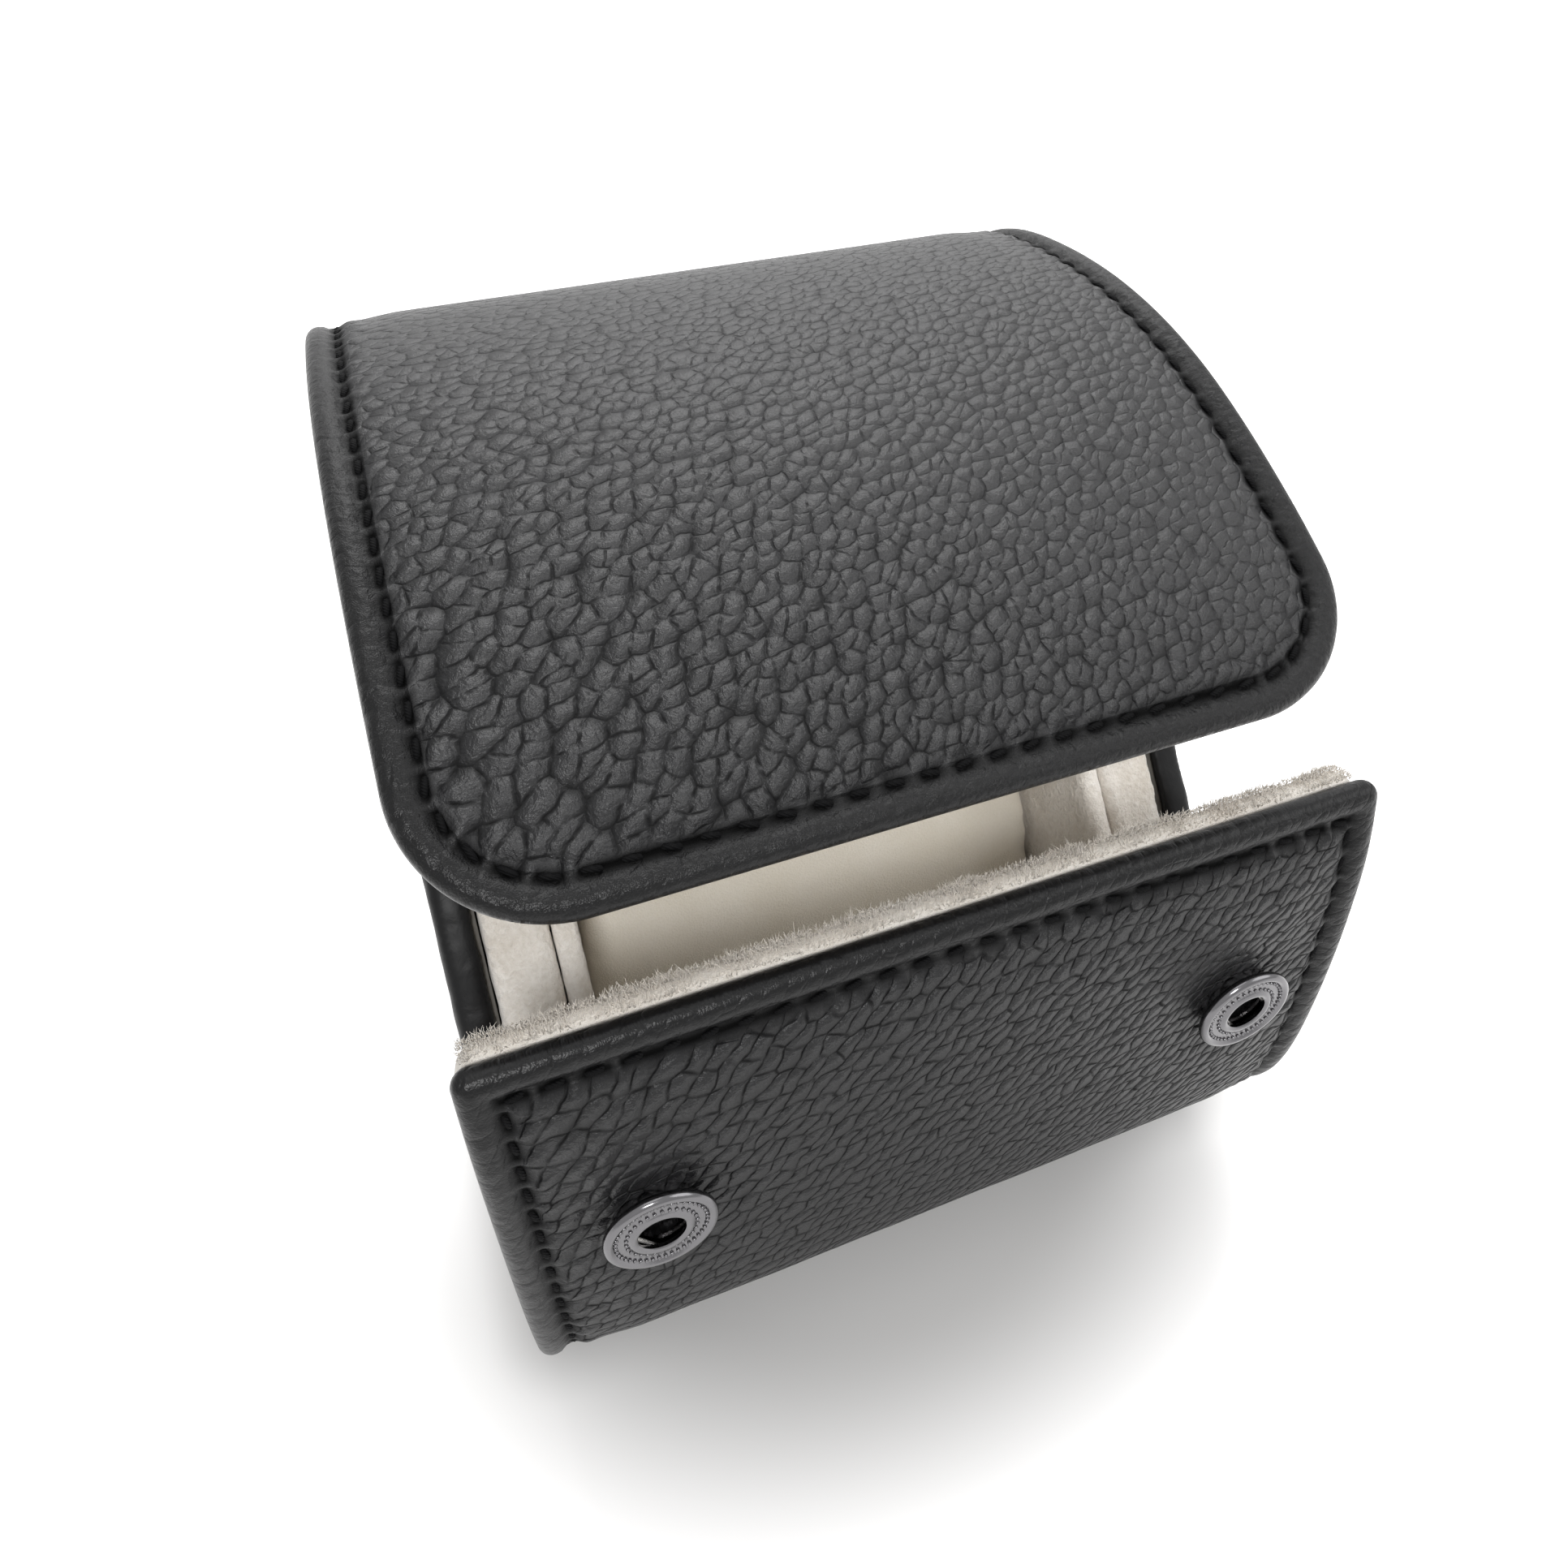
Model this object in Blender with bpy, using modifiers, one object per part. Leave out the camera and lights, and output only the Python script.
"""Travel watch case for one watch: a leather wrap with a flap and a front
panel on leather folds, two end walls, a suede well and a watch pillow.

Metres, +Z up, the front faces -Y. The case is built as in the photograph,
half open, and stands on its bottom."""

import math

import bmesh
import bpy
import numpy as np
from mathutils import Matrix, Vector

# Wrap, seen from the side
wrap_width = 0.100
case_depth = 0.1135
case_height = 0.1075
front_inset = 0.0009
front_corner_radius = 0.0315
rear_corner_radius = 0.0240
front_fold_height = 0.0136
rear_fold_height = 0.0680

# Side profiles of the half open flap and panel, as shares of depth and height.
# Each runs from its free edge to its fold, which closes the list.
flap_profile_shares = (
    (0.092, 0.793), (0.207, 0.866), (0.309, 0.920), (0.433, 0.970),
    (0.572, 0.997), (0.714, 0.995), (0.856, 0.961), (0.932, 0.904),
    (0.980, 0.824), (0.999, 0.730))
panel_profile_shares = (
    (0.052, 0.689), (0.033, 0.614), (0.022, 0.538), (0.0143, 0.453),
    (0.0097, 0.358), (0.0101, 0.274), (0.0216, 0.199))

# Layers of the wrap, from outside to inside
leather_thickness = 0.0012
board_thickness = 0.0014
lining_thickness = 0.0031
flap_board_thickness = 0.0004
flap_lining_thickness = 0.0008
fit_gap = 0.0003
turned_edge = 0.0012
edge_round = 0.0008
lining_inset = 0.0008
flap_corner_radius = 0.0150
panel_corner_radius = 0.0018

# Folds
fold_relief = math.radians(6.0)
fold_gap = 0.00025
fold_zone = 0.0065
board_margin = 0.0055

# End walls and well
end_wall_thickness = 0.0048
end_wall_outset = 0.0010
end_wall_leather = 0.0012
end_wall_round = 0.0014
rim_front_gap = 0.0005
rim_top_gap = 0.0015
side_pad_thickness = 0.0077
well_wall_thickness = 0.0030
pad_round = 0.0009
block_round = 0.0020
strap_space = 0.0032

# Watch pillow
pillow_width = 0.0640
pillow_length = 0.0520
pillow_thickness = 0.0380
pillow_tilt = math.radians(48.4)
pillow_distance = 0.0631
pillow_cover_thickness = 0.0012
pillow_end_thickness = 0.0016
pillow_end_recess = 0.0012
pillow_crown_shares = ((0.0, 1.0), (0.45, 0.995), (0.75, 0.978), (0.92, 0.945), (1.0, 0.900))
pillow_squareness = 2.35

# Press fasteners
snap_side_distance = 0.01515
snap_height = 0.0478
stud_setback = 0.0070
snap_mouth_gap = 0.0006
socket_radius = 0.00595
socket_height = 0.0024
socket_lip = 0.0009
socket_plate = 0.0004
socket_chamfer = 0.00045
socket_neck_radius = 0.0046
socket_cavity_radius = 0.0041
socket_hole_radius = 0.0025
rivet_tube_radius = 0.00245
rivet_tube_wall = 0.00035
rivet_flange_radius = 0.0035
rivet_flange_thickness = 0.0003
rivet_disc_radius = 0.0055
rivet_disc_thickness = 0.0008
snap_clearance = 0.00025
spring_wire_radius = 0.00022
spring_chord = 0.0023
spring_reach = 0.0026
stud_flange_radius = 0.0048
stud_flange_thickness = 0.0007
stud_head_radius = 0.0019
stud_neck_radius = 0.0015
stud_head_height = 0.00125
stud_shank_radius = 0.0008
stud_disc_radius = 0.0038
stud_disc_thickness = 0.0003
stud_neck_share = 0.35
stud_swell_share = 0.55
stud_shoulder_share = 0.75
stud_nose_share = 0.65
shank_share = 0.45

# Fineness
turn_step = math.radians(4.5)
corner_steps = 7
outline_steps = 60
revolve_steps = 28
pillow_steps = 36
weld_distance = 0.000001
overrun = 0.004
bore_overrun = 0.001

# Both fasteners keep their distance from the wrap's sides
snap_spacing = wrap_width - 2 * snap_side_distance

# Depths of the layers below the outer face: board, turned edge and lining
layer_board = leather_thickness + fit_gap
layer_lip = layer_board + board_thickness
layer_lining = layer_lip + fit_gap
wrap_thickness = layer_lining + lining_thickness
flap_lip = layer_board + flap_board_thickness
flap_layer_lining = flap_lip + fit_gap
flap_thickness = flap_layer_lining + flap_lining_thickness

# The studs sit on the flap's board, in holes through its lining
stud_seat = flap_lip + fit_gap
stud_head_low = stud_seat + stud_flange_thickness
stud_head_top = stud_head_low + stud_head_height


def start_scene():
    for item in list(bpy.data.objects):
        bpy.data.objects.remove(item, do_unlink=True)
    collection = bpy.data.collections.new("travel_watch_case")
    bpy.context.scene.collection.children.link(collection)
    return collection


case = start_scene()


def material(name, colour, roughness, metallic=0.0):
    made = bpy.data.materials.new(name)
    made.use_nodes = True
    shader = made.node_tree.nodes["Principled BSDF"]
    shader.inputs["Base Color"].default_value = (*colour, 1.0)
    shader.inputs["Roughness"].default_value = roughness
    shader.inputs["Metallic"].default_value = metallic
    made.diffuse_color = (*colour, 1.0)
    return made


black_leather = material("black_pebbled_leather", (0.030, 0.030, 0.031), 0.55)
edge_leather = material("smooth_black_leather", (0.022, 0.022, 0.022), 0.50)
suede = material("off_white_microsuede", (0.78, 0.74, 0.69), 0.95)
cream_cloth = material("cream_microfibre", (0.76, 0.72, 0.62), 0.85)
grey_board = material("grey_board", (0.30, 0.29, 0.27), 0.90)
foam = material("white_foam", (0.85, 0.84, 0.80), 0.95)
nickel = material("dark_nickel", (0.42, 0.42, 0.43), 0.25, 1.0)
spring_steel = material("spring_steel", (0.50, 0.50, 0.50), 0.30, 1.0)


def smooth_curve(points, steps=8):
    """Natural cubic spline through the points, by distance along them."""
    points = np.array(points, float)
    last = len(points) - 1
    knots = np.concatenate([[0.0], np.cumsum(np.linalg.norm(np.diff(points, axis=0), axis=1))])
    gaps = np.diff(knots)
    system = np.eye(last + 1)
    load = np.zeros((last + 1, 2))
    for i in range(1, last):
        system[i, i - 1:i + 2] = (gaps[i - 1], 2 * (gaps[i - 1] + gaps[i]), gaps[i])
        slopes = (points[i + 1] - points[i]) / gaps[i] - (points[i] - points[i - 1]) / gaps[i - 1]
        load[i] = 6 * slopes
    bend = np.linalg.solve(system, load)
    curve = []
    for i in range(last):
        for k in range(steps):
            b = k / steps
            a = 1 - b
            share = (a ** 3 - a) * bend[i] + (b ** 3 - b) * bend[i + 1]
            curve.append(a * points[i] + b * points[i + 1] + share * gaps[i] ** 2 / 6)
    curve.append(points[-1])
    return np.array(curve)


def face_outwards(solid):
    bmesh.ops.recalc_face_normals(solid, faces=solid.faces)
    if solid.calc_volume(signed=True) < 0.0:
        bmesh.ops.reverse_faces(solid, faces=solid.faces)


class Profile:
    """A side profile in the YZ plane, read by the distance along it."""

    def __init__(self, points, side):
        self.points = np.array(points, float)
        steps = np.linalg.norm(np.diff(self.points, axis=0), axis=1)
        self.places = np.concatenate([[0.0], np.cumsum(steps)])
        self.length = self.places[-1]
        along = np.gradient(self.points, self.places, axis=0)
        self.along = along / np.linalg.norm(along, axis=1)[:, None]
        self.inward = side * np.column_stack([-self.along[:, 1], self.along[:, 0]])
        turns = np.unwrap(np.arctan2(self.along[:, 1], self.along[:, 0]))
        self.turned = np.concatenate([[0.0], np.cumsum(np.abs(np.diff(turns)))])

    def read(self, table, place):
        return np.array([np.interp(place, self.places, table[:, k]) for k in range(2)])

    def at(self, place, depth=0.0):
        near = min(max(place, 0.0), self.length)
        inward = self.read(self.inward, near)
        inward = inward / np.linalg.norm(inward)
        along = self.read(self.along, near)
        along = along / np.linalg.norm(along)
        return self.read(self.points, near) + inward * depth + along * (place - near)

    def inward_at(self, place):
        inward = self.read(self.inward, place)
        return inward / np.linalg.norm(inward)

    def place_at_height(self, height):
        order = np.argsort(self.points[:, 1])
        return float(np.interp(height, self.points[order, 1], self.places[order]))

    def stations(self, start, end):
        first = np.interp(start, self.places, self.turned)
        last = np.interp(end, self.places, self.turned)
        count = max(2, int(math.ceil((last - first) / turn_step)))
        turns = np.linspace(first, last, count + 1)[1:-1]
        return [float(np.interp(turn, self.turned, self.places)) for turn in turns]


# The front corner's arc holds the front fold, and the rear fold is on the back
front_centre = np.array([front_inset + front_corner_radius, front_corner_radius])
rear_centre = np.array([case_depth - rear_corner_radius, rear_corner_radius])
fold_drop = front_corner_radius - front_fold_height
front_fold = np.array([
    front_centre[0] - math.sqrt(front_corner_radius ** 2 - fold_drop ** 2), front_fold_height])
rear_fold = np.array([case_depth, rear_fold_height])


def arc(centre, radius, start, end, steps):
    angles = np.linspace(start, end, steps + 1)
    return [centre + radius * np.array([math.cos(a), math.sin(a)]) for a in angles]


def shares_to_points(shares):
    return [np.array([case_depth * y, case_height * z]) for y, z in shares]


fold_angle = math.atan2(front_fold[1] - front_centre[1], front_fold[0] - front_centre[0])
base_points = arc(front_centre, front_corner_radius, fold_angle, -math.pi / 2, 16)
base_points += arc(rear_centre, rear_corner_radius, -math.pi / 2, 0.0, 24)
base_points.append(rear_fold)

flap_profile = Profile(smooth_curve(shares_to_points(flap_profile_shares) + [rear_fold]), -1)
panel_profile = Profile(smooth_curve(shares_to_points(panel_profile_shares) + [front_fold]), 1)
base_profile = Profile(base_points, 1)
socket_place = panel_profile.place_at_height(snap_height)


def turned_about(point, pivot, angle):
    offset = np.array(point) - pivot
    cos, sin = math.cos(angle), math.sin(angle)
    return pivot + np.array([cos * offset[0] - sin * offset[1], sin * offset[0] + cos * offset[1]])


def heading(point):
    return math.atan2(point[1] - front_fold[1], point[0] - front_fold[0])


def closing_angles():
    """How far flap and panel turn until each stud stands in its socket's mouth."""
    stud_tip = flap_profile.at(stud_setback, stud_head_top)
    mouth = panel_profile.at(socket_place, -socket_height - snap_mouth_gap)
    mouth_reach = np.linalg.norm(mouth - front_fold)
    low, high = 0.0, math.radians(35.0)
    for _ in range(40):
        turn = (low + high) / 2
        tip = turned_about(stud_tip, rear_fold, turn)
        if np.linalg.norm(tip - front_fold) > mouth_reach:
            low = turn
        else:
            high = turn
    tip = turned_about(stud_tip, rear_fold, turn)
    return turn, heading(mouth) - heading(tip)


flap_close_angle, panel_close_angle = closing_angles()


# Empties carry the moving bodies, each on its fold or at the pillow's middle
def carrier(name, y, z, parent=None):
    empty = bpy.data.objects.new(name, None)
    case.objects.link(empty)
    empty.empty_display_size = wrap_width / 10
    empty.location = (0.0, y, z)
    if parent:
        empty.parent = parent
    return empty


def shell_bounds():
    """Corners of the box round wrap and sockets, seen from the side."""
    flap_points = [flap_profile.at(place) for place in flap_profile.places]
    panel_points = [panel_profile.at(place) for place in panel_profile.places]
    outward = -panel_profile.inward_at(socket_place)
    across = np.array([outward[1], -outward[0]])
    rim_points = []
    for reach, rise in (
            (socket_radius, socket_height - socket_chamfer), (socket_radius - socket_chamfer, socket_height)):
        on_axis = panel_profile.at(socket_place) + outward * rise
        rim_points += [on_axis + across * reach, on_axis - across * reach]
    every = np.array(flap_points + panel_points + rim_points + list(base_profile.points))
    return every.min(axis=0), every.max(axis=0)


shell_low, shell_high = shell_bounds()
middle = (shell_low[0] + shell_high[0]) / 2
root = carrier("case_middle", -middle, 0.0)
flap_pivot = carrier("flap_fold_axis", *rear_fold, root)
panel_pivot = carrier("panel_fold_axis", *front_fold, root)


def add_piece(name, mesh, paint, pivot=None, sharp=40.0):
    """Names the mesh as a piece and hangs it on its pivot or on the root."""
    mesh.name = name
    if pivot:
        mesh.transform(Matrix.Translation(-pivot.location))
    made = bpy.data.objects.new(name, mesh)
    case.objects.link(made)
    made.parent = pivot or root
    made.data.materials.clear()
    made.data.materials.append(paint)
    made.data.shade_smooth()
    made.data.set_sharp_from_angle(angle=math.radians(sharp))
    return made


def settled_mesh(made):
    """The object's mesh with its modifiers applied. The object goes."""
    bpy.context.view_layer.update()
    graph = bpy.context.evaluated_depsgraph_get()
    mesh = bpy.data.meshes.new_from_object(made.evaluated_get(graph))
    bpy.data.objects.remove(made, do_unlink=True)
    return mesh


def outline_plate(outline, low, high):
    """A flat outline filled and extruded from low to high along Z."""
    curve = bpy.data.curves.new("outline", "CURVE")
    curve.dimensions = "2D"
    curve.fill_mode = "BOTH"
    curve.extrude = (high - low) / 2
    line = curve.splines.new("POLY")
    line.points.add(len(outline) - 1)
    for point, (x, y) in zip(line.points, outline):
        point.co = (x, y, 0.0, 1.0)
    line.use_cyclic_u = True
    made = bpy.data.objects.new("outline", curve)
    case.objects.link(made)
    mesh = settled_mesh(made)
    bpy.data.curves.remove(curve)
    solid = bmesh.new()
    solid.from_mesh(mesh)
    bmesh.ops.remove_doubles(solid, verts=solid.verts, dist=weld_distance)
    bmesh.ops.dissolve_limit(solid, angle_limit=math.radians(1.0), verts=solid.verts, edges=solid.edges)
    bmesh.ops.translate(solid, verts=solid.verts, vec=(0.0, 0.0, (low + high) / 2))
    face_outwards(solid)
    solid.to_mesh(mesh)
    solid.free()
    made = bpy.data.objects.new("plate", mesh)
    case.objects.link(made)
    return made


def sheet_outline(half_width, start, end, radius):
    """Seen flat: X across, Y along. Both corners at the start are rounded."""
    points = [(half_width, end)]
    steps = corner_steps if radius > fold_zone else 2
    for i in range(steps + 1):
        angle = math.pi / 2 * i / steps
        x = half_width - radius + radius * math.cos(angle)
        points.append((x, start + radius - radius * math.sin(angle)))
    return points + [(-x, y) for x, y in reversed(points)]


def round_edges(made, radius, segments=2):
    bevel = made.modifiers.new("round", "BEVEL")
    bevel.width = radius
    bevel.segments = segments
    bevel.limit_method = "ANGLE"
    bevel.angle_limit = math.radians(50.0)


def cut(made, cutter):
    """Takes the cutter away from the piece, and removes the cutter."""
    trim = made.modifiers.new("cut", "BOOLEAN")
    trim.operation = "DIFFERENCE"
    trim.solver = "EXACT"
    trim.object = cutter
    mesh = settled_mesh(made)
    bpy.data.objects.remove(cutter, do_unlink=True)
    result = bpy.data.objects.new("plate", mesh)
    case.objects.link(result)
    return result


def drill(made, x, y, radius, low, high):
    bpy.ops.mesh.primitive_cylinder_add(
        vertices=revolve_steps, radius=radius, depth=high - low, location=(x, y, (low + high) / 2))
    return cut(made, bpy.context.object)


def bend_sheet(made, profile, start, end, relief_start=None, relief_end=None):
    """Cuts the flat sheet into strips and lays it on the profile.

    A relief is the slope of the end face at a fold, so that the layers
    don't meet there when the fold closes."""
    mesh = settled_mesh(made)
    sheet = bmesh.new()
    sheet.from_mesh(mesh)

    def slice_at(place, keep_low, keep_high):
        parts = sheet.verts[:] + sheet.edges[:] + sheet.faces[:]
        result = bmesh.ops.bisect_plane(
            sheet, geom=parts, dist=weld_distance, plane_co=(0.0, place, 0.0), plane_no=(0.0, 1.0, 0.0),
            clear_outer=not keep_high, clear_inner=not keep_low)
        if not (keep_low and keep_high):
            edges = [part for part in result["geom_cut"] if isinstance(part, bmesh.types.BMEdge)]
            bmesh.ops.holes_fill(sheet, edges=edges, sides=0)

    if relief_end is not None:
        slice_at(end, True, False)
    if relief_start is not None:
        slice_at(start, False, True)
    for place in profile.stations(start, end):
        slice_at(place, True, True)
    for vert in sheet.verts:
        x, place, depth = vert.co
        if relief_end is not None and end - place < fold_zone:
            near = 1 - (end - place) / fold_zone
            place -= near * (fold_gap + depth * math.tan(relief_end))
        if relief_start is not None and place - start < fold_zone:
            near = 1 - (place - start) / fold_zone
            place += near * (fold_gap + depth * math.tan(relief_start))
        y, z = profile.at(place, depth)
        vert.co = (x, y, z)
    face_outwards(sheet)
    sheet.to_mesh(mesh)
    sheet.free()
    return mesh


def leather_sheet(start, end, radius, lip=layer_lip):
    """Leather turned in round the board: a shallow tray, open inwards."""
    tray = outline_plate(sheet_outline(wrap_width / 2, start, end + overrun, radius), 0.0, lip)
    round_edges(tray, edge_round)
    inner_radius = max(radius - turned_edge, turned_edge / 2)
    pocket = outline_plate(
        sheet_outline(wrap_width / 2 - turned_edge, start + turned_edge, end + 2 * overrun, inner_radius),
        leather_thickness, lip + overrun)
    return cut(tray, pocket)


def board_sheet(start, end, radius, lip=layer_lip):
    inset = turned_edge + fit_gap
    inner_radius = max(radius - inset, inset / 2)
    return outline_plate(
        sheet_outline(wrap_width / 2 - inset, start + inset, end, inner_radius), layer_board, lip)


def lining_sheet(start, end, radius, low=layer_lining, high=wrap_thickness):
    inner_radius = max(radius - lining_inset, lining_inset)
    lining = outline_plate(
        sheet_outline(wrap_width / 2 - lining_inset, start + lining_inset, end + overrun, inner_radius),
        low, high)
    round_edges(lining, min(edge_round, (high - low) / 3))
    return lining


# Flap: leather, board and lining, with the studs near its front edge
flap_end = flap_profile.length
flap_relief = flap_close_angle + fold_relief
stud_places = [(-snap_spacing / 2, stud_setback), (snap_spacing / 2, stud_setback)]

sheet = leather_sheet(0.0, flap_end, flap_corner_radius, flap_lip)
flap_leather = add_piece(
    "flap_leather", bend_sheet(sheet, flap_profile, 0.0, flap_end, None, flap_relief),
    black_leather, flap_pivot)

sheet = board_sheet(0.0, flap_end - board_margin, flap_corner_radius, flap_lip)
for x, place in stud_places:
    sheet = drill(sheet, x, place, stud_disc_radius + fit_gap, 0.0, wrap_thickness)
flap_board = add_piece(
    "flap_board", bend_sheet(sheet, flap_profile, 0.0, flap_end - board_margin),
    grey_board, flap_pivot)

sheet = lining_sheet(0.0, flap_end, flap_corner_radius, flap_layer_lining, flap_thickness)
for x, place in stud_places:
    sheet = drill(sheet, x, place, stud_flange_radius + fit_gap, 0.0, flap_thickness + bore_overrun)
flap_lining = add_piece(
    "flap_lining", bend_sheet(sheet, flap_profile, 0.0, flap_end, None, flap_relief),
    suede, flap_pivot)

# Front panel: leather, board and lining, with the sockets through it
panel_end = panel_profile.length
panel_relief = panel_close_angle + fold_relief
socket_places = [(-snap_spacing / 2, socket_place), (snap_spacing / 2, socket_place)]
tube_bore = rivet_tube_radius + fit_gap

sheet = leather_sheet(0.0, panel_end, panel_corner_radius)
for x, place in socket_places:
    sheet = drill(sheet, x, place, tube_bore, -bore_overrun, layer_lip)
panel_leather = add_piece(
    "panel_leather", bend_sheet(sheet, panel_profile, 0.0, panel_end, None, panel_relief),
    black_leather, panel_pivot)

sheet = board_sheet(0.0, panel_end - board_margin, panel_corner_radius)
for x, place in socket_places:
    sheet = drill(sheet, x, place, tube_bore, 0.0, wrap_thickness)
panel_board = add_piece(
    "panel_board", bend_sheet(sheet, panel_profile, 0.0, panel_end - board_margin),
    grey_board, panel_pivot)

sheet = lining_sheet(0.0, panel_end, panel_corner_radius)
for x, place in socket_places:
    seat = layer_lining + rivet_disc_thickness + fit_gap
    sheet = drill(sheet, x, place, rivet_disc_radius + fit_gap, 0.0, seat)
panel_lining = add_piece(
    "panel_lining", bend_sheet(sheet, panel_profile, 0.0, panel_end, None, panel_relief),
    suede, panel_pivot)

# Base: the fixed leather under and behind the well, with a board in each
base_end = base_profile.length
sheet = leather_sheet(-overrun, base_end, panel_corner_radius)
pocket_front = outline_plate(
    sheet_outline(wrap_width / 2 - turned_edge, -2 * overrun, fold_zone, turned_edge / 2),
    leather_thickness, layer_lip + overrun)
sheet = cut(sheet, pocket_front)
base_leather = add_piece(
    "base_leather", bend_sheet(sheet, base_profile, 0.0, base_end, 0.0, 0.0), black_leather)

bottom_end = base_profile.places[16] + (rear_centre[0] - front_centre[0])
board_join = bottom_end + rear_corner_radius * math.pi / 4
sheet = board_sheet(board_margin, board_join - fit_gap / 2, panel_corner_radius)
bottom_board = add_piece(
    "bottom_board", bend_sheet(sheet, base_profile, board_margin, board_join - fit_gap / 2),
    grey_board)
sheet = board_sheet(board_join - turned_edge, base_end - board_margin, panel_corner_radius)
back_board = add_piece(
    "back_board", bend_sheet(sheet, base_profile, board_join, base_end - board_margin),
    grey_board)

sheet = lining_sheet(-overrun, base_end, panel_corner_radius)
base_lining = add_piece(
    "base_lining", bend_sheet(sheet, base_profile, 0.0, base_end, 0.0, 0.0), suede)


# The well's side view: inside the base lining and under the closed flap and panel
def polyline_hit(centre, direction, points):
    """Distance along the ray to the nearest crossing of the line of points."""
    start = points[:-1] - centre
    step = points[1:] - points[:-1]
    scale = direction[0] * step[:, 1] - direction[1] * step[:, 0]
    scale = np.where(np.abs(scale) < 1e-12, 1e-12, scale)
    reach = (start[:, 0] * step[:, 1] - start[:, 1] * step[:, 0]) / scale
    share = (start[:, 0] * direction[1] - start[:, 1] * direction[0]) / scale
    good = (share >= 0.0) & (share <= 1.0) & (reach > 0.0)
    return reach[good].min() if good.any() else math.inf


def offset_line(profile, depth, pivot=None, angle=0.0, before=0.0, after=0.0):
    places = np.concatenate([[-before], profile.places, [profile.length + after]])
    points = np.array([profile.at(place, depth) for place in places])
    if pivot is not None:
        points = np.array([turned_about(point, pivot, angle) for point in points])
    return points


def well_outline(inset):
    base_line = offset_line(base_profile, wrap_thickness + fit_gap + inset, None, 0.0, overrun, overrun)
    panel_line = offset_line(
        panel_profile, wrap_thickness + rim_front_gap + inset, front_fold, -panel_close_angle,
        case_height, case_height)
    flap_line = offset_line(
        flap_profile, flap_thickness + rim_top_gap + inset, rear_fold, flap_close_angle,
        0.0, case_height)
    centre = np.array([case_depth * 0.62, case_height * 0.42])
    outline = []
    for i in range(outline_steps):
        angle = 2 * math.pi * i / outline_steps
        direction = np.array([math.cos(angle), math.sin(angle)])
        reach = min(polyline_hit(centre, direction, line) for line in (base_line, panel_line, flap_line))
        outline.append(centre + direction * reach)
    return outline


def stand_up(made, x):
    """Turns a plate drawn as (Y, Z) with its thickness along Z to stand at X."""
    turn = Matrix(((0.0, 0.0, 1.0, x), (1.0, 0.0, 0.0, 0.0), (0.0, 1.0, 0.0, 0.0), (0.0, 0.0, 0.0, 1.0)))
    mesh = settled_mesh(made)
    mesh.transform(turn)
    return mesh


rim = well_outline(0.0)
board_rim = well_outline(end_wall_leather + fit_gap)
lip_rim = well_outline(end_wall_leather)
wall_outer = wrap_width / 2 + end_wall_outset
wall_inner = wall_outer - end_wall_thickness
board_outer = wall_outer - end_wall_leather - fit_gap
pad_outer = wall_inner - fit_gap
pad_inner = pad_outer - side_pad_thickness
well_outer = pad_inner - fit_gap
well_half_width = well_outer - well_wall_thickness

for side_name, side in (("left", -1), ("right", 1)):

    def between(outline, inner, outer):
        return outline_plate(outline, min(side * inner, side * outer), max(side * inner, side * outer))

    wall = between(rim, wall_inner, wall_outer)
    round_edges(wall, end_wall_round, 3)
    wall = cut(wall, between(lip_rim, wall_inner - overrun, wall_outer - end_wall_leather))
    add_piece(side_name + "_end_wall_leather", stand_up(wall, 0.0), edge_leather)

    board = between(board_rim, wall_inner, board_outer)
    add_piece(side_name + "_end_wall_board", stand_up(board, 0.0), grey_board)

    pad = between(rim, pad_inner, pad_outer)
    round_edges(pad, pad_round)
    add_piece(side_name + "_side_pad", stand_up(pad, 0.0), suede)

    wall = between(rim, well_half_width, well_outer)
    round_edges(wall, pad_round)
    add_piece(side_name + "_well_wall", stand_up(wall, 0.0), suede)

# Watch pillow: it lies in the well with its face to the opening
along = np.array([math.cos(pillow_tilt), math.sin(pillow_tilt)])
outward = np.array([-along[1], along[0]])


def pillow_ring(scale, inset=0.0):
    """One closed outline across the pillow, a softened square oval."""
    half_length = pillow_length / 2 * scale - inset
    half_thickness = pillow_thickness / 2 * scale - inset
    ring = []
    for i in range(pillow_steps):
        angle = 2 * math.pi * i / pillow_steps
        cos, sin = math.cos(angle), math.sin(angle)
        power = 2 / pillow_squareness
        a = half_length * math.copysign(abs(cos) ** power, cos)
        b = half_thickness * math.copysign(abs(sin) ** power, sin)
        ring.append(along * a + outward * b)
    return ring


pillow_drop = -min(point[1] for point in pillow_ring(1.0))
pillow_centre = np.array([pillow_distance, wrap_thickness + fit_gap + pillow_drop])
pillow_pivot = carrier("pillow_middle", *pillow_centre, root)


def loft(rings, closed_tube=False):
    """Joins the rings one after another: a tube into itself, or a capped solid."""
    solid = bmesh.new()
    rows = [[solid.verts.new(point) for point in ring] for ring in rings]
    count = len(rows[0])
    pairs = list(zip(rows, rows[1:]))
    if closed_tube:
        pairs.append((rows[-1], rows[0]))
    for first, second in pairs:
        for i in range(count):
            j = (i + 1) % count
            solid.faces.new((first[i], first[j], second[j], second[i]))
    if not closed_tube:
        solid.faces.new(rows[0])
        solid.faces.new(rows[-1])
    face_outwards(solid)
    mesh = bpy.data.meshes.new("loft")
    solid.to_mesh(mesh)
    solid.free()
    return mesh


def crown_at(x):
    places = [share for share, scale in pillow_crown_shares]
    scales = [scale for share, scale in pillow_crown_shares]
    return float(np.interp(abs(x) / (pillow_width / 2), places, scales))


def pillow_row(x, inset=0.0):
    ring = pillow_ring(crown_at(x), inset)
    return [Vector((x, *(pillow_centre + point))) for point in ring]


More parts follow.
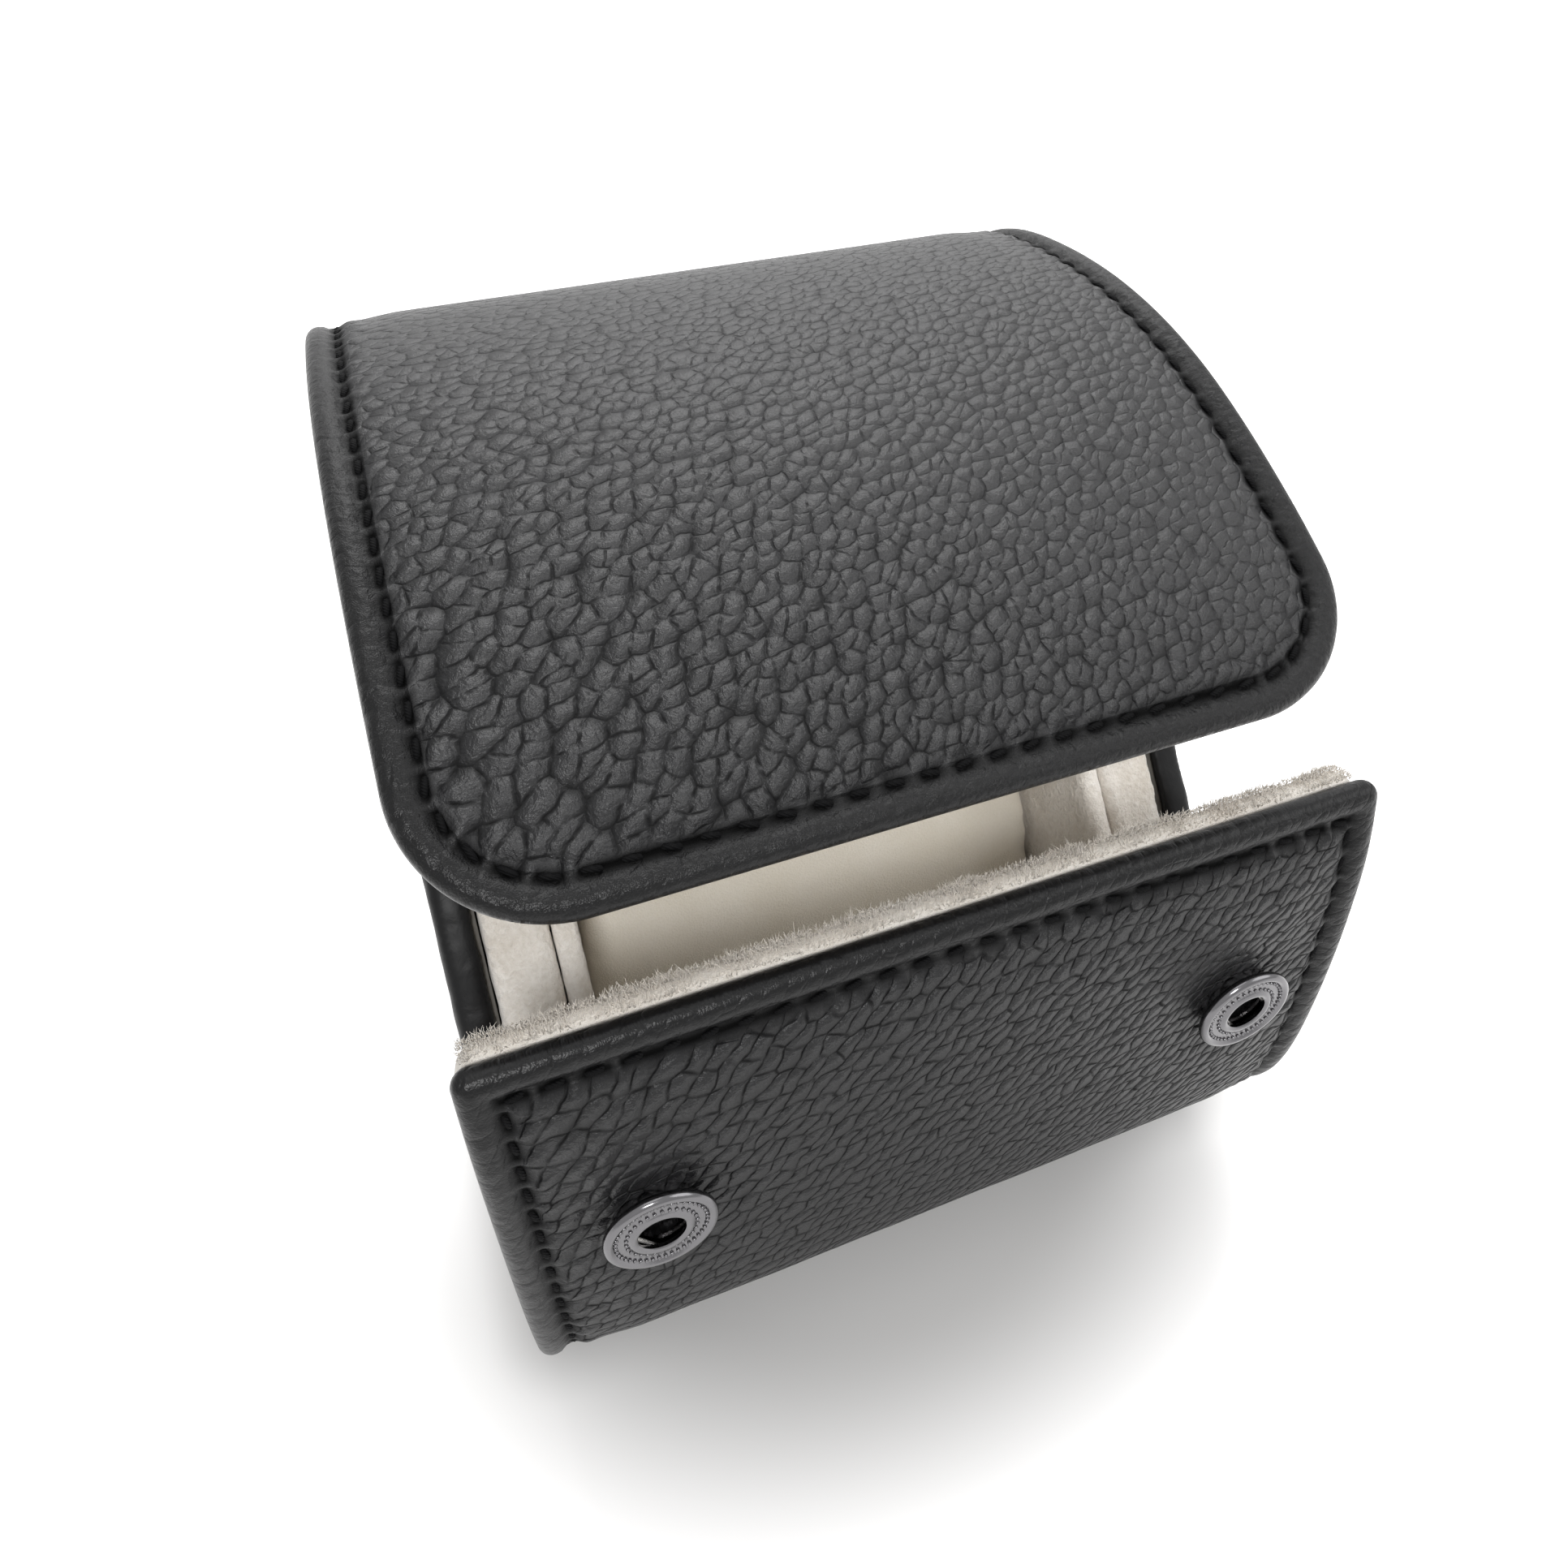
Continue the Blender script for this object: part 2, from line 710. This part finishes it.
half_pillow = pillow_width / 2
outer_places = [-half_pillow * share for share, scale in reversed(pillow_crown_shares)]
outer_places += [half_pillow * share for share, scale in pillow_crown_shares[1:]]
rows = [pillow_row(x) for x in outer_places]
rows += [pillow_row(x, pillow_cover_thickness) for x in reversed(outer_places)]
add_piece("pillow_cover", loft(rows, True), cream_cloth, pillow_pivot, 60.0)

core_inset = pillow_cover_thickness + fit_gap
cap_outer = half_pillow - pillow_end_recess
cap_inner = cap_outer - pillow_end_thickness
core_half = cap_inner - fit_gap
core_places = [-core_half] + [x for x in outer_places if abs(x) < core_half * 0.96] + [core_half]
add_piece("pillow_core", loft([pillow_row(x, core_inset) for x in core_places]), foam, pillow_pivot, 60.0)
for side_name, side in (("left", -1), ("right", 1)):
    rows = [pillow_row(side * x, core_inset) for x in (cap_inner, cap_outer)]
    add_piece("pillow_" + side_name + "_end", loft(rows), cream_cloth, pillow_pivot)


# Padded blocks in front of the pillow and behind it, cut from the well's outline
def well_block(name, distance, keep_back):
    block = outline_plate(rim, -well_half_width + fit_gap, well_half_width - fit_gap)
    mesh = settled_mesh(block)
    solid = bmesh.new()
    solid.from_mesh(mesh)
    point = pillow_centre + along * distance
    parts = solid.verts[:] + solid.edges[:] + solid.faces[:]
    result = bmesh.ops.bisect_plane(
        solid, geom=parts, dist=weld_distance, plane_co=(*point, 0.0), plane_no=(*along, 0.0),
        clear_inner=keep_back, clear_outer=not keep_back)
    edges = [part for part in result["geom_cut"] if isinstance(part, bmesh.types.BMEdge)]
    bmesh.ops.holes_fill(solid, edges=edges, sides=0)
    face_outwards(solid)
    solid.to_mesh(mesh)
    solid.free()
    block = bpy.data.objects.new("block", mesh)
    case.objects.link(block)
    round_edges(block, block_round, 3)
    add_piece(name, stand_up(block, 0.0), suede)


reach = pillow_length / 2 + strap_space
well_block("back_block", reach, True)
well_block("front_block", -reach, False)


# Press fasteners: turned pieces, each drawn round Z and stood on its seat
def turned_piece(profile_points):
    """Turns the outline, given as (radius, height), round the Z axis."""
    mesh = bpy.data.meshes.new("turned")
    outline = bmesh.new()
    verts = [outline.verts.new((radius, 0.0, height)) for radius, height in profile_points]
    for first, second in zip(verts, verts[1:]):
        outline.edges.new((first, second))
    if profile_points[0][0] > 0.0:
        outline.edges.new((verts[-1], verts[0]))
    outline.to_mesh(mesh)
    outline.free()
    made = bpy.data.objects.new("turned", mesh)
    case.objects.link(made)
    screw = made.modifiers.new("turn", "SCREW")
    screw.axis = "Z"
    screw.steps = revolve_steps
    screw.render_steps = revolve_steps
    screw.use_merge_vertices = True
    screw.merge_threshold = weld_distance
    mesh = settled_mesh(made)
    solid = bmesh.new()
    solid.from_mesh(mesh)
    bmesh.ops.remove_doubles(solid, verts=solid.verts, dist=weld_distance)
    face_outwards(solid)
    solid.to_mesh(mesh)
    solid.free()
    return mesh


def seat_piece(name, mesh, paint, pivot, x, profile, place, outwards, spin=0.0):
    """Stands the piece on the sheet's outer face at the place along its profile."""
    y, z = profile.at(place)
    normal = profile.inward_at(place) * (-1 if outwards else 1)
    axis = Vector((0.0, *normal))
    turn = axis.to_track_quat("Z", "X").to_matrix().to_4x4()
    made = add_piece(name, mesh, paint, None)
    made.parent = pivot
    made.location = Vector((x, y, z)) - pivot.location
    made.rotation_euler = (turn @ Matrix.Rotation(spin, 4, "Z")).to_euler()
    return made


lip_low = socket_height - socket_lip
cavity_low = fit_gap + socket_plate
cavity_high = socket_height - socket_plate
socket_outline = (
    (rivet_tube_radius + snap_clearance, fit_gap),
    (socket_neck_radius, fit_gap),
    (socket_neck_radius, lip_low),
    (socket_radius, lip_low),
    (socket_radius, socket_height - socket_chamfer),
    (socket_radius - socket_chamfer, socket_height),
    (socket_hole_radius + socket_chamfer / 2, socket_height),
    (socket_hole_radius, socket_height - socket_chamfer / 2),
    (socket_hole_radius, cavity_high),
    (socket_cavity_radius, cavity_high),
    (socket_cavity_radius, cavity_low),
    (rivet_tube_radius + snap_clearance, cavity_low))

flange_low = cavity_low + snap_clearance / 2
flange_high = flange_low + rivet_flange_thickness
disc_top = -layer_lining
disc_low = disc_top - rivet_disc_thickness
tube_inner = rivet_tube_radius - rivet_tube_wall
rivet_outline = (
    (0.0, disc_low),
    (rivet_disc_radius, disc_low),
    (rivet_disc_radius, disc_top),
    (rivet_tube_radius, disc_top),
    (rivet_tube_radius, flange_low),
    (rivet_flange_radius, flange_low),
    (rivet_flange_radius, flange_high),
    (tube_inner, flange_high),
    (tube_inner, disc_top),
    (0.0, disc_top))

stud_bore = stud_shank_radius + snap_clearance
shank_top = stud_head_low + stud_head_height * shank_share
stud_outline = (
    (stud_bore, stud_seat),
    (stud_flange_radius - socket_chamfer / 2, stud_seat),
    (stud_flange_radius, stud_seat + stud_flange_thickness / 3),
    (stud_flange_radius, stud_head_low - stud_flange_thickness / 3),
    (stud_flange_radius - socket_chamfer, stud_head_low),
    (stud_neck_radius, stud_head_low),
    (stud_neck_radius, stud_head_low + stud_head_height * stud_neck_share),
    (stud_head_radius, stud_head_low + stud_head_height * stud_swell_share),
    (stud_head_radius, stud_head_low + stud_head_height * stud_shoulder_share),
    (stud_head_radius * stud_nose_share, stud_head_top),
    (0.0, stud_head_top),
    (0.0, shank_top + snap_clearance),
    (stud_bore, shank_top + snap_clearance))
stud_disc_top = layer_board + stud_disc_thickness
stud_rivet_outline = (
    (0.0, layer_board),
    (stud_disc_radius, layer_board),
    (stud_disc_radius, stud_disc_top),
    (stud_shank_radius, stud_disc_top),
    (stud_shank_radius, shank_top),
    (0.0, shank_top))


def spring_mesh():
    """The wire spring of the socket: two straight grips joined by bows."""
    bow = math.hypot(spring_reach, spring_chord)
    corner = math.atan2(spring_chord, spring_reach)
    height = (flange_high + cavity_high) / 2
    tail = corner * 0.35
    angles = list(np.linspace(tail, corner, 4))
    angles += list(np.linspace(math.pi - corner, math.pi + corner, 11))
    angles += list(np.linspace(2 * math.pi - corner, 2 * math.pi - tail, 4))
    curve = bpy.data.curves.new("wire", "CURVE")
    curve.dimensions = "3D"
    curve.bevel_depth = spring_wire_radius
    curve.bevel_resolution = 1
    curve.use_fill_caps = True
    line = curve.splines.new("POLY")
    line.points.add(len(angles) - 1)
    for point, angle in zip(line.points, angles):
        point.co = (bow * math.cos(angle), bow * math.sin(angle), height, 1.0)
    made = bpy.data.objects.new("wire", curve)
    case.objects.link(made)
    mesh = settled_mesh(made)
    bpy.data.curves.remove(curve)
    solid = bmesh.new()
    solid.from_mesh(mesh)
    bmesh.ops.remove_doubles(solid, verts=solid.verts, dist=weld_distance)
    face_outwards(solid)
    solid.to_mesh(mesh)
    solid.free()
    return mesh


for side_name, side in (("left", -1), ("right", 1)):
    x = side * snap_spacing / 2
    at_socket = (panel_pivot, x, panel_profile, socket_place, True)
    seat_piece(side_name + "_socket", turned_piece(socket_outline), nickel, *at_socket)
    seat_piece(side_name + "_socket_rivet", turned_piece(rivet_outline), nickel, *at_socket)
    seat_piece(
        side_name + "_socket_spring", spring_mesh(), spring_steel, *at_socket, math.radians(35.0))
    at_stud = (flap_pivot, x, flap_profile, stud_setback, False)
    seat_piece(side_name + "_stud", turned_piece(stud_outline), nickel, *at_stud)
    seat_piece(side_name + "_stud_rivet", turned_piece(stud_rivet_outline), nickel, *at_stud)

bpy.context.view_layer.update()
